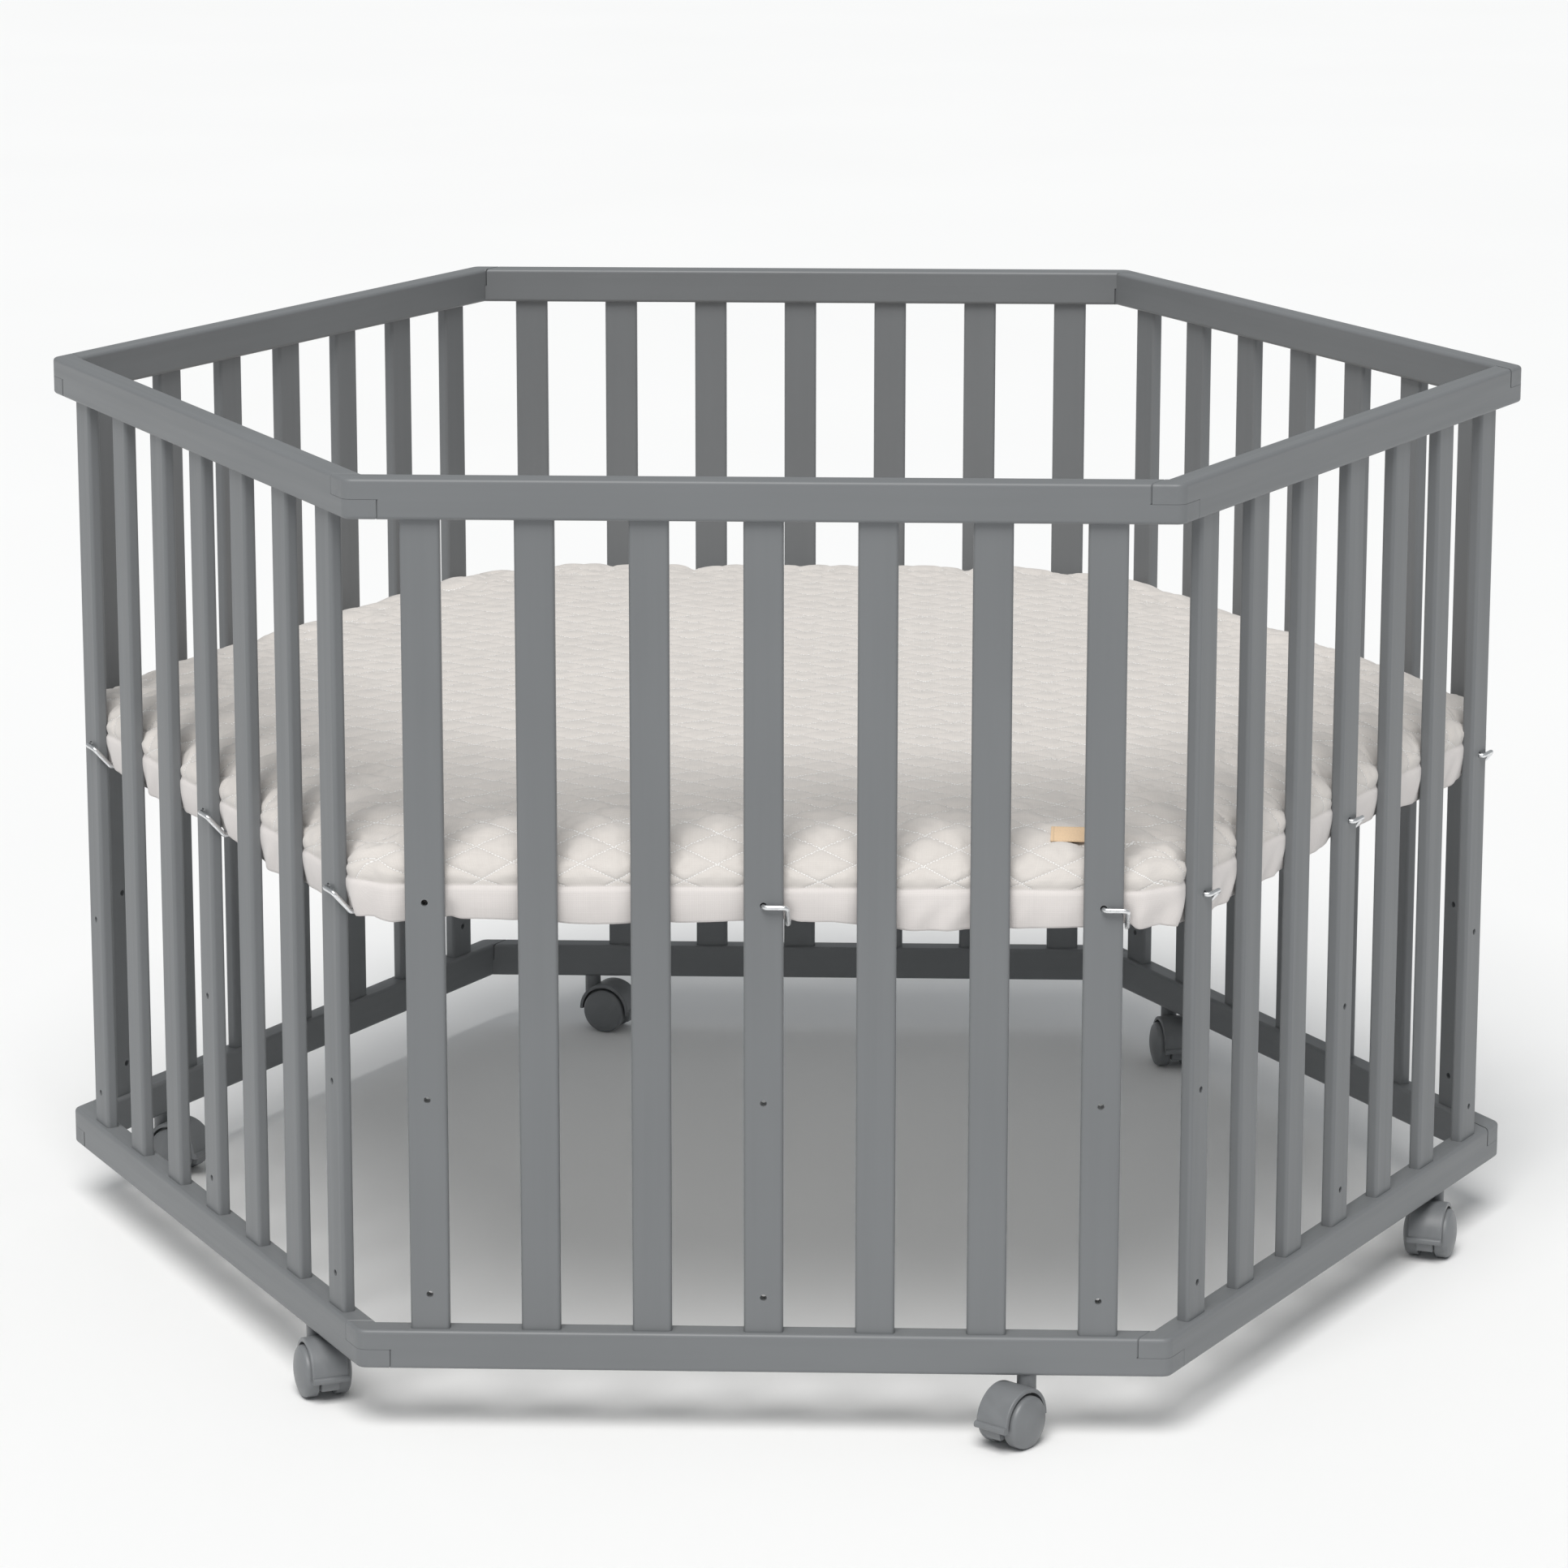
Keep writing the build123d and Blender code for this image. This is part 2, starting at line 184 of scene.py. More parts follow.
# ------------------------------------------------------------------ materials
class Shader:
    """A new material with one Principled shader, and short calls to add and join its nodes."""

    def __init__(self, name, roughness, metallic=0.0, **sockets):
        self.material = bpy.data.materials.new(name)
        self.material.use_nodes = True
        self.tree = self.material.node_tree
        self.principled = self.tree.nodes["Principled BSDF"]
        self.set("Roughness", roughness)
        self.set("Metallic", metallic)
        for socket, value in sockets.items():
            self.set(socket.replace("_", " "), value)

    def set(self, socket, value):
        if isinstance(value, bpy.types.NodeSocket):
            self.tree.links.new(value, self.principled.inputs[socket])
        else:
            self.principled.inputs[socket].default_value = value

    def node(self, kind, inputs=None, **settings):
        made = self.tree.nodes.new(kind)
        for key, value in settings.items():
            setattr(made, key, value)
        for key, value in (inputs or {}).items():
            if isinstance(value, bpy.types.NodeSocket):
                self.tree.links.new(value, made.inputs[key])
            else:
                made.inputs[key].default_value = value
        return made

    def place(self, scale=(1, 1, 1), turn=0.0, uv=False):
        """Object coordinates, or the piece's own unfolded ones, turned about Z and then scaled."""
        source = self.node("ShaderNodeTexCoord").outputs["UV" if uv else "Object"]
        turned = self.node("ShaderNodeMapping", {"Vector": source, "Rotation": (0, 0, -turn)})
        return self.node("ShaderNodeMapping", {"Vector": turned.outputs[0], "Scale": scale}).outputs[0]

    def noise(self, where, scale=1.0, detail=3.0, rough=0.5, distortion=0.0):
        inputs = {"Vector": where, "Scale": scale, "Detail": detail, "Roughness": rough,
                  "Distortion": distortion}
        return self.node("ShaderNodeTexNoise", inputs).outputs["Fac"]

    def spread(self, value, low, high, to_low=0.0, to_high=1.0):
        """Stretch the part of value between low and high to a new range."""
        inputs = {"Value": value, "From Min": low, "From Max": high, "To Min": to_low, "To Max": to_high}
        return self.node("ShaderNodeMapRange", inputs).outputs["Result"]

    def math(self, operation, a, b=0.0):
        return self.node("ShaderNodeMath", {0: a, 1: b}, operation=operation).outputs[0]

    def mix(self, share, a, b):
        """Colour a where share is 0, and b where it is 1."""
        made = self.node("ShaderNodeMix", {"Factor": share, "A": self.colour(a), "B": self.colour(b)},
                         data_type="RGBA")
        return made.outputs["Result"]

    def tint(self, share, a, b):
        """Make the base colour a mix of two colours."""
        self.set("Base Color", self.mix(share, a, b))

    @staticmethod
    def colour(value):
        return value if isinstance(value, bpy.types.NodeSocket) else (*tuple(value)[:3], 1.0)

    def bump(self, height, distance, strength=1.0, under=None):
        inputs = {"Height": height, "Distance": distance, "Strength": strength}
        if under is not None:
            inputs["Normal"] = under
        return self.node("ShaderNodeBump", inputs).outputs["Normal"]


def tone(colour, factor):
    """The colour made lighter or darker."""
    return tuple(min(1.0, c * factor) for c in tuple(colour)[:3])


def painted_wood(name, colour, along):
    """Satin grey paint over planed beech.  along is how the grain runs: "up", or the turn of a rail
    about Z.  The grain shows only as a faint relief, with slow drifts in tone and gloss."""
    shader = Shader(name, 0.42, Specular_IOR_Level=0.45)
    if along == "up":
        grain_at = shader.place((95, 95, 3.2))
    else:
        grain_at = shader.place((3.2, 95, 95), turn=along)
    grain = shader.noise(grain_at, detail=4.0, rough=0.62)
    drift = shader.noise(shader.place(), scale=5.0, detail=2.0)
    brush = shader.noise(shader.place(), scale=420.0, detail=2.0)
    speck = shader.noise(shader.place(), scale=60.0, detail=6.0, rough=0.7)
    base = shader.mix(shader.spread(drift, 0.3, 0.7), tone(colour, 0.955), tone(colour, 1.045))
    base = shader.mix(shader.spread(grain, 0.42, 0.75, 0.0, 0.16), base, tone(colour, 0.80))
    base = shader.mix(shader.spread(speck, 0.66, 0.80, 0.0, 0.25), base, tone(colour, 1.18))
    shader.set("Base Color", base)
    shader.set("Roughness", shader.spread(shader.math("ADD", drift, grain), 0.7, 1.3, 0.36, 0.50))
    relief = shader.bump(grain, 0.00018, 0.55)
    shader.set("Normal", shader.bump(brush, 0.00004, 0.5, relief))
    return shader.material


def zinc_wire(name, colour):
    """Bright zinc plate with drawn streaks and dull patches."""
    shader = Shader(name, 0.3, metallic=1.0)
    patches = shader.noise(shader.place(), scale=260.0, detail=3.0)
    fine = shader.noise(shader.place(), scale=2600.0, detail=2.0)
    shader.tint(shader.spread(patches, 0.35, 0.7), colour, tone(colour, 0.84))
    shader.set("Roughness", shader.spread(patches, 0.3, 0.7, 0.22, 0.42))
    shader.set("Normal", shader.bump(fine, 0.00002, 0.4))
    return shader.material


def moulded_plastic(name, colour):
    """Grey moulded plastic with a fine spark-eroded grain and slight flow marks."""
    shader = Shader(name, 0.42, Specular_IOR_Level=0.5)
    flow = shader.noise(shader.place(), scale=38.0, detail=3.0, distortion=1.5)
    grain = shader.noise(shader.place(), scale=1900.0, detail=2.0)
    shader.tint(shader.spread(flow, 0.3, 0.7), tone(colour, 0.93), tone(colour, 1.06))
    shader.set("Roughness", shader.spread(flow, 0.3, 0.7, 0.34, 0.47))
    shader.set("Normal", shader.bump(grain, 0.00003, 0.6))
    return shader.material


def turned_steel(name, colour, roughness):
    """Plain steel or brass with fine turning rings round an upright axis."""
    shader = Shader(name, roughness, metallic=1.0)
    rings = shader.noise(shader.place((60, 60, 9000)), detail=2.0)
    stain = shader.noise(shader.place(), scale=160.0, detail=4.0)
    shader.tint(shader.spread(stain, 0.35, 0.75), colour, tone(colour, 0.78))
    shader.set("Roughness", shader.spread(rings, 0.3, 0.7, roughness * 0.75, roughness * 1.3))
    shader.set("Normal", shader.bump(rings, 0.00002, 0.5))
    return shader.material


def fibreboard(name):
    """White melamine faces over a raw brown edge, told apart by which way the surface faces."""
    shader = Shader(name, 0.45)
    up = shader.node("ShaderNodeSeparateXYZ",
                     {0: shader.node("ShaderNodeNewGeometry").outputs["Normal"]}).outputs["Z"]
    is_face = shader.math("GREATER_THAN", shader.math("ABSOLUTE", up), 0.5)
    fibres = shader.noise(shader.place((400, 400, 1600)), detail=5.0, rough=0.7)
    mottle = shader.noise(shader.place(), scale=30.0, detail=4.0)
    edge = shader.mix(shader.spread(fibres, 0.3, 0.7), (0.20, 0.115, 0.06), (0.36, 0.23, 0.13))
    face = shader.mix(shader.spread(mottle, 0.3, 0.7), (0.80, 0.79, 0.77), (0.86, 0.85, 0.83))
    shader.tint(is_face, edge, face)
    shader.set("Roughness", shader.spread(mottle, 0.3, 0.7, 0.38, 0.55))
    shader.set("Normal", shader.bump(fibres, 0.0001, 0.4))
    return shader.material


def white_profile(name):
    """Extruded white plastic with faint lines along its length."""
    shader = Shader(name, 0.4)
    lines = shader.noise(shader.place((1500, 4, 1500)), detail=2.0)
    shader.tint(shader.spread(lines, 0.3, 0.7), (0.74, 0.74, 0.73), (0.82, 0.82, 0.81))
    shader.set("Roughness", shader.spread(lines, 0.3, 0.7, 0.34, 0.46))
    shader.set("Normal", shader.bump(lines, 0.00003, 0.5))
    return shader.material


def slub_weave(shader, pitch=0.00085):
    """Height of a plain linen weave with thick and thin threads, in unfolded coordinates."""
    threads = []
    for along, across in (("X", "Y"), ("Y", "X")):
        stretch = (18, 520, 1) if along == "X" else (520, 18, 1)
        slub = shader.noise(shader.place(stretch, uv=True), detail=2.0)
        wave = shader.node("ShaderNodeTexWave", {
            "Vector": shader.place(uv=True), "Scale": 1 / (pitch * 20) * pi, "Distortion": 0.8,
            "Detail": 1.0, "Detail Scale": 0.6}, bands_direction=across)
        thickness = shader.spread(slub, 0.2, 0.8, 0.45, 1.3)
        threads.append(shader.math("MULTIPLY", wave.outputs["Fac"], thickness))
    return shader.math("MAXIMUM", *threads)


def slub_streaks(shader):
    """Long soft streaks of thicker thread, both ways of the cloth."""
    level = shader.noise(shader.place((14, 900, 1), uv=True), detail=3.0)
    upright = shader.noise(shader.place((900, 14, 1), uv=True), detail=3.0)
    return shader.spread(shader.math("ADD", level, upright), 0.75, 1.25)


def stitch_line(shader, cell_width, cell_depth, sign, length=0.0024, width=0.0009):
    """Where one family of slanting quilting lines lies.  Returns the thread's mask and the
    distance from the nearest line, as a share of the spacing."""
    split = shader.node("ShaderNodeSeparateXYZ", {0: shader.place(uv=True)})
    u, v = split.outputs["X"], split.outputs["Y"]
    across = shader.math("ADD", shader.math("MULTIPLY", u, 1 / cell_width),
                         shader.math("MULTIPLY", v, sign / cell_depth))
    centred = shader.math("SUBTRACT", shader.math("FRACT", across), 0.5)
    off_line = shader.math("SUBTRACT", 0.5, shader.math("ABSOLUTE", centred))
    run = hypot(cell_width, cell_depth)
    spacing = cell_width * cell_depth / run
    along = shader.math("SUBTRACT", shader.math("MULTIPLY", u, cell_width / run),
                        shader.math("MULTIPLY", v, sign * cell_depth / run))
    beat = shader.math("FRACT", shader.math("DIVIDE", along, length))
    dash = shader.math("LESS_THAN", shader.math("ABSOLUTE", shader.math("SUBTRACT", beat, 0.5)), 0.36)
    near = shader.math("LESS_THAN", off_line, width / 2 / spacing)
    return shader.math("MULTIPLY", dash, near), off_line


def linen(name, colour, thread=None, cell=None):
    """Slubby cream linen.  With a thread colour and a cell size it carries the quilting stitches, with
    painted shade darkening the grooves beside them.
    """
    shader = Shader(name, 0.86, Sheen_Weight=0.25, Sheen_Roughness=0.6, Specular_IOR_Level=0.2)
    weave = slub_weave(shader)
    streaks = slub_streaks(shader)
    cloud = shader.noise(shader.place(), scale=9.0, detail=3.0)
    base = shader.mix(shader.spread(cloud, 0.3, 0.7), tone(colour, 0.975), tone(colour, 1.02))
    base = shader.mix(shader.math("MULTIPLY", streaks, 0.30), base, tone(colour, 0.88))
    base = shader.mix(shader.spread(weave, 0.2, 1.0, 0.10, 0.0), base, tone(colour, 0.70))
    normal = shader.bump(weave, 0.00012, 0.5)
    normal = shader.bump(streaks, 0.00010, 0.4, normal)
    if thread is not None:
        masks, lines = zip(*(stitch_line(shader, *cell, sign) for sign in (1, -1)))
        mask = shader.math("MAXIMUM", *masks)
        nearest = shader.math("MINIMUM", *lines)
        sunk = shader.spread(nearest, 0.0, 0.09)
        # painted shade: the cloth is darkened beside each quilting line, where its sunk groove lies in
        # shade
        base = shader.mix(shader.spread(nearest, 0.0, 0.06, 0.16, 0.0), base, tone(colour, 0.72))
        base = shader.mix(mask, base, thread)
        normal = shader.bump(shader.math("POWER", sunk, 0.5), 0.0008, 0.7, normal)
        normal = shader.bump(mask, 0.0004, 0.8, normal)
    shader.set("Base Color", base)
    shader.set("Roughness", shader.spread(streaks, 0.0, 1.0, 0.82, 0.94))
    shader.set("Normal", normal)
    return shader.material


def label_cloth(name, colour):
    """Tan woven tape with a darker stitched margin."""
    shader = Shader(name, 0.75, Sheen_Weight=0.15)
    weave = shader.noise(shader.place((900, 2600, 900)), detail=2.0)
    base = shader.mix(shader.spread(weave, 0.3, 0.7), tone(colour, 0.90), tone(colour, 1.08))
    split = shader.node("ShaderNodeSeparateXYZ", {0: shader.place(uv=True)})
    margins = []
    for axis, other in (("X", "Y"), ("Y", "X")):
        off = shader.math("ABSOLUTE", shader.math("SUBTRACT", split.outputs[axis], 0.5))
        from_line = shader.math("ABSOLUTE", shader.math("SUBTRACT", off, 0.455))
        line = shader.math("LESS_THAN", from_line, 0.014)
        beat = shader.math("FRACT", shader.math("MULTIPLY", split.outputs[other], 22))
        margins.append(shader.math("MULTIPLY", line, shader.math("LESS_THAN", beat, 0.62)))
    stitches = shader.math("MAXIMUM", *margins)
    base = shader.mix(shader.math("MULTIPLY", stitches, 0.55), base, tone(colour, 0.62))
    shader.set("Base Color", base)
    shader.set("Normal", shader.bump(weave, 0.00008, 0.6, shader.bump(stitches, 0.0002, -0.6)))
    return shader.material


def studio_floor(name):
    """Pale even floor with a very faint cloud."""
    shader = Shader(name, 0.7)
    cloud = shader.noise(shader.place(), scale=1.2, detail=2.0)
    shader.tint(cloud, (0.90, 0.90, 0.90), (0.93, 0.93, 0.93))
    return shader.material


# ------------------------------------------------------------------ the mat's shape
FLAT_TO = 0.440                    # the cloth starts to roll over here, measured square to a side
ROLL = 0.0755                      # length of cloth that rolls over the edge, down to the seam
ROLL_OUT = 0.060                   # how far out that length reaches
ROLL_DOWN = 0.034                  # and how far down
REACH = FLAT_TO + ROLL             # length of cloth from the middle to the seam
EDGE = FLAT_TO + ROLL_OUT          # the seam's distance from the middle before it is pressed
SEAM_Z = MAT_BOX[0].z + 0.0185
CORNER_R = 0.030                   # rounding of the mat's six corners, seen from above
LIP_R = 0.030                      # the same of the lip turned in under the mat, where it ends
LIP_APOTHEM = APOTHEM - 0.0229     # and how far out it ends
PRESSED = SLAT_INNER - 0.0016      # outermost place of the mat where a slat presses on it
CORNER_IN = 0.0030                 # how much nearer to the middle its corners are
BULGE = 0.0046                     # how much further it swells between two slats
TUCK = 0.0012                      # depth of the seam's groove
DENT = 0.0025                      # depth of the hollows that the slats press into the shoulder
CORNER_DROP = 0.0065               # how much lower the shoulder lies at the corners
BAND_LOW = BOARD_TOP - 0.0092      # the band's lower edge, and its lowest and highest places
BAND_LOWEST = BOARD_TOP - 0.0145
BAND_HIGHEST = BOARD_TOP - 0.0065
BAND_ON_HOOK = BOARD_TOP - 0.0052  # the same where a hook lifts it
BAND_CLOTH = 0.032                 # the weave is laid out over this, a little more than the band
HOOK_BESIDE = 0.0176               # a hook's wire passes this far right of its slat's middle
HOOK_HALF = 0.0052                 # how wide the band is lifted each side of the wire
HOOK_SLATS = (-3, 0, 3)            # the slats with hooks, counted from a side's middle
QUILT_FROM = np.array((0.041, 0.0062 - REACH))    # two quilting lines cross here
NOTHING = 1e-9                     # keeps a division safe


def around(turn, along, out):
    """Points of one side: along its length to the right seen from outside, and outwards."""
    return np.stack([along * np.cos(turn) + out * np.sin(turn),
                     along * np.sin(turn) - out * np.cos(turn)], -1)


def rounded(share, apothem, corner):
    """Place on a rounded six-sided outline.  share runs from -1 to 1 along a side.  Returns the
    length along the side, the distance out, and how far into the corner the place is, 0 to 1."""
    half = apothem * tan(pi / 6)
    straight = (apothem - corner) * tan(pi / 6)
    along = share * half
    over = np.clip((np.abs(along) - straight) / np.maximum(half - straight, NOTHING), 0, 1)
    angle = over * pi / 6
    turned_along = np.sign(along) * (straight + corner * np.sin(angle))
    inside = np.abs(along) <= straight
    along = np.where(inside, along, turned_along)
    out = np.where(inside, apothem, apothem - corner + corner * np.cos(angle))
    return along, out, over


def slat_press(along, pitch, sharp=3.0):
    """1 at a slat, 0 midway between two slats and past the last slat of a side.  A higher sharp
    makes the place pressed by a slat narrower."""
    wave = 0.5 + 0.5 * np.cos(2 * pi * along / pitch)
    return wave ** sharp * (1 - smooth(3.3 * pitch, 3.5 * pitch, np.abs(along)))


def hollows(side, along, pitch, right=0.012):
    """Uneven depth of the hollows that the slats press into the mat's shoulder, deepest just to
    the right of each slat."""
    index = np.round((along - 0.010) / pitch)
    depth = 0.65 + 0.55 * np.sin(index * 2.3 + side * 1.7)
    return slat_press(along - right, pitch) * depth


def rough_field(points, scale, seed):
    """Smooth noise in -1 to 1 at an array of points; the seed only moves where it is read."""
    shift = Vector((seed * 17.3, seed * 5.1, seed * 9.7))
    return np.array([noise.noise(Vector(p) * scale + shift) for p in points])


def ring_start(ring):
    """Number of a six-sided web's points inside a ring, which is where the ring's own start."""
    return 1 + 3 * ring * (ring - 1) if ring else 0


def hex_web(rings):
    """Index pattern of a six-sided web of triangles: for every point its ring, its side and its
    share along the side from -1 to 1, and the triangles."""
    ring, side, share = [0], [0], [0.0]
    for k in range(1, rings + 1):
        for s in range(6):
            for i in range(k):
                ring.append(k)
                side.append(s)
                share.append(2 * i / k - 1)
    faces = []
    for k in range(rings):
        inner, outer = max(6 * k, 1), 6 * (k + 1)
        for s in range(6):
            for i in range(k + 1):
                a = ring_start(k + 1) + s * (k + 1) + i
                b = ring_start(k + 1) + (s * (k + 1) + i + 1) % outer
                c = ring_start(k) + (s * k + i) % inner
                faces.append((a, b, c))
                if i < k:
                    d = ring_start(k) + (s * k + i + 1) % inner
                    faces.append((c, b, d))
    return np.array(ring), np.array(side), np.array(share), faces


def finer(values, rings):
    """Carry the values of a web with some rings over to the web with twice as many."""

    def at(ring, place):
        return values[ring_start(ring) + place % (6 * ring) if ring else 0]

    fine = [values[0]]
    for k in range(1, 2 * rings + 1):
        inner, outer = k // 2, (k + 1) // 2
        for s in range(6):
            for i in range(k):
                a = at(inner, s * inner + i // 2)
                b = at(outer, s * outer + (i + 1) // 2)
                fine.append((a + b) / 2)
    return np.array(fine)


def flat_cloth(side, share, reach):
    """Place of a point on the cloth laid flat, from a crossing of two quilting lines."""
    return around(side * SIXTH, share * reach * tan(pi / 6), reach) - QUILT_FROM


def quilt_lines(cloth, mat):
    """Where a place of the cloth lies among the two families of quilting lines, and how far it is
    from the nearest line, as a share of their spacing."""
    p = cloth[:, 0] / mat.cell_width + cloth[:, 1] / mat.cell_depth
    q = cloth[:, 0] / mat.cell_width - cloth[:, 1] / mat.cell_depth
    return p, q, np.minimum(np.abs(p - np.round(p)), np.abs(q - np.round(q)))


def top_place(side, share, reach, mat):
    """Place of the mat's top cloth.  reach is the length of cloth from the middle out, measured
    square to a side; past FLAT_TO it rolls over the edge and down to the seam."""
    roll = np.clip((reach - FLAT_TO) / ROLL, 0, 1) * pi / 2
    apothem = np.where(reach < FLAT_TO, reach, FLAT_TO + ROLL_OUT * np.sin(roll))
    drop = ROLL_DOWN * (1 - np.cos(roll))
    corner = CORNER_R * smooth(0.25, 0.49, apothem)
    along, out, over = rounded(share, apothem, corner)
    hollow = hollows(side, along, mat.slat_pitch)
    out = out + (outline(along, over, mat) - EDGE) * smooth(0.40, 0.50, apothem)
    out = out - TUCK * smooth(ROLL - 0.0042, ROLL - 0.0006, reach - FLAT_TO)
    shoulder = smooth(0.395, 0.455, apothem) * (1 - 0.6 * smooth(0.25, 1.0, roll / (pi / 2)))
    level = SEAM_Z + ROLL_DOWN + mat.crown * (1 - (np.minimum(apothem, FLAT_TO) / FLAT_TO) ** 4)
    at_corner = smooth(0.70, 1.0, np.abs(share)) * smooth(0.37, 0.49, apothem)
    at_corner = at_corner * (1 - smooth(0.5, 1.0, roll))
    height = level - drop - DENT * hollow * shoulder - CORNER_DROP * at_corner
    return np.column_stack([around(side * SIXTH, along, out), height])


def outline(along, over, mat):
    """Distance of the mat's edge from the middle: flat on the slats and swollen between them."""
    swollen = BULGE * (1 - slat_press(along, mat.slat_pitch))
    return PRESSED + swollen - CORNER_IN * smooth(0.0, 1.0, over)


class PLAYPEN_OT_mat(bpy.types.Operator):
    """Make the quilted mat: a crowned top of puffed diamonds that rolls over its edge to a seam,
    and a plain band that hangs in soft folds between the slats and lifts over the hooks"""

    bl_idname = "playpen.mat"
    bl_label = "Mat"

    rings = 190             # rings of the top's web from its middle to the seam
    sheet_rings = 95        # the same of the simulated sheet, half as many
    sheet_frames = 20       # steps of the simulation
    swell_limit = 0.0028    # furthest that a place at the edge may swell
    band_rings = 18         # rows of faces down the band
    lip_rings = 5           # and in the lip turned in under it
    band_seed = 45          # how the band's lower edge wanders

    def execute(self, context):
        mat, colours = context.scene.playpen_mat, context.scene.playpen_colours
        ring, side, share, faces = hex_web(self.rings)
        reach = ring / self.rings * REACH
        top = top_place(side, share, reach, mat)
        cloth = flat_cloth(side, share, reach)
        top = self.quilt(top, cloth, faces, reach, mat)
        top = top + finer(self.swell(context, mat), self.sheet_rings)
        rim = np.arange(len(top) - 6 * self.rings, len(top))
        points, unfolded, skin, plain_from = self.band(top, cloth, faces, rim, side, share, mat)
        piece = new_mesh("mat_cover", points, skin)
        cell = mat.cell_width, mat.cell_depth
        give(piece, linen("quilted linen", colours.linen, colours.thread, cell),
             linen("band linen", colours.band))
        self.finish_cover(piece, unfolded, plain_from)
        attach(piece, "floor")
        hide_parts("mat")
        return {"FINISHED"}

    def swell(self, context, mat):
        """Blow up a coarse copy of the top cloth, held along its stitches, by the slats and at the
        seam, and return how far every point of it moved."""
        ring, side, share, faces = hex_web(self.sheet_rings)
        reach = ring / self.sheet_rings * REACH
        start = top_place(side, share, reach, mat)
        by_stitch = 1 - smooth(0.07, 0.17, quilt_lines(flat_cloth(side, share, reach), mat)[2])
        by_slat = slat_press(share * reach * tan(pi / 6), mat.slat_pitch)
        by_slat = by_slat * smooth(FLAT_TO + 0.3 * ROLL, FLAT_TO + 0.7 * ROLL, reach)
        by_seam = smooth(0.945, 0.995, reach / REACH)
        held = np.clip(np.maximum.reduce([by_stitch, by_slat, by_seam]), 0, 1)
        sheet = new_mesh("mat_sheet", start, faces)
        group = sheet.vertex_groups.new(name="held")
        held = np.round(held, 1)
        for weight in np.unique(held):
            group.add(np.flatnonzero(held == weight).tolist(), float(weight), "REPLACE")
        cloth_maker = sheet.modifiers.new("cloth", "CLOTH")
        settings = cloth_maker.settings
        settings.quality = 4
        settings.mass = 0.2
        settings.tension_stiffness = settings.compression_stiffness = 12
        settings.shear_stiffness = 6
        settings.bending_stiffness = 0.08
        settings.use_pressure = True
        settings.uniform_pressure_force = 4
        settings.shrink_min = -0.02
        settings.effector_weights.gravity = 0
        settings.vertex_group_mass = "held"
        settings.pin_stiffness = 1.0
        cloth_maker.point_cache.frame_end = self.sheet_frames
        for step in range(1, self.sheet_frames + 1):
            context.scene.frame_set(step)
        make_current(sheet)
        bpy.ops.object.modifier_apply(modifier="cloth")
        moved = read_points(sheet.data) - start
        bpy.data.objects.remove(sheet)
        context.scene.frame_set(1)
        far = np.linalg.norm(moved, axis=1)
        limit = self.swell_limit * (0.25 + 0.75 * smooth(FLAT_TO - 0.06, FLAT_TO, reach))
        return moved * np.minimum(1, limit / np.maximum(far, NOTHING))[:, None]

    def quilt(self, top, cloth, faces, reach, mat):
        """Puff every diamond between its stitches and crease the cloth beside them."""
        shape = bpy.data.meshes.new("mat_shape")
        shape.from_pydata(top.tolist(), [], faces)
        normals = read_points(shape, normals=True)
        bpy.data.meshes.remove(shape)
        p, q, off_line = quilt_lines(cloth, mat)
        dome = np.abs(np.sin(pi * p)) * np.abs(np.sin(pi * q))
        pillow = 0.7 * (1 - np.exp(-off_line / 0.065)) + 0.3 * dome
        uneven = 1 + 0.15 * np.sin(np.floor(p) * 12.99 + np.floor(q) * 78.23)
        fade = 1 - smooth(REACH - 0.012, REACH - 0.003, reach)
        flat = np.column_stack([cloth, np.zeros(len(cloth))])
        crease = rough_field(flat * (1, 3.4, 1), 30.0, 1)
        soft = rough_field(flat, 8.0, 2)
        edge = smooth(FLAT_TO - 0.06, FLAT_TO, reach)
        height = mat.puff * pillow * uneven * (0.25 + 0.75 * fade) * (0.9 + 0.4 * edge)
        height += 0.00025 * crease * pillow * fade + 0.0003 * soft * fade
        return top + normals * height[:, None]

    def band(self, top, cloth, faces, rim, side, share, mat):
        """Add the plain band below the seam, the lip turned in under it and the flat underside."""
        points, unfolded = [top], [cloth]
        skin = list(faces)
        count = len(rim)
        edge_side, edge_share = side[rim], share[rim]
        along, _, over = rounded(edge_share, np.full(count, EDGE), CORNER_R)
        corner_turn = np.sign(edge_share) * over * pi / 6
        direction = around(edge_side * SIXTH, np.sin(corner_turn), np.cos(corner_turn))
        length = np.arange(count) / count * 2 * pi
        round_trip = np.column_stack([np.cos(length), np.sin(length), np.zeros(count)])
        wander = rough_field(round_trip, 5.0, self.band_seed)
        ripple = rough_field(round_trip, 38.0, 4)
        at_hook = sum(np.exp(-((along - (i * mat.slat_pitch + HOOK_BESIDE)) / HOOK_HALF) ** 2)
                      for i in HOOK_SLATS)
        at_hook = np.clip(at_hook, 0, 1)
        low = np.clip(BAND_LOW + 0.007 * wander + 0.003 * over, BAND_LOWEST, BAND_HIGHEST)
        low = low + 0.0005 * ripple
        low = low + (BAND_ON_HOOK - low) * at_hook
        lip = around(edge_side * SIXTH, *rounded(edge_share, np.full(count, LIP_APOTHEM), LIP_R)[:2])
        rim_plan, rim_z = top[rim][:, :2], top[rim][:, 2]
        previous, start, plain_from = rim, len(top), len(faces)
        for j in range(1, self.band_rings + self.lip_rings + 1):
            t = min(j / self.band_rings, 1.0)
            if j <= self.band_rings:
                z = rim_z + (low - rim_z) * t
                slant = along * 230 + t * 3.4 + 2.6 * wander
                fold = np.sin(slant) * smooth(-0.1, 0.5, 0.3 * ripple - wander)
                swell = (TUCK + 0.0002) * smooth(0.0, 0.13, t) + 0.0006 * sin(pi * t) - 0.0034 * t ** 2
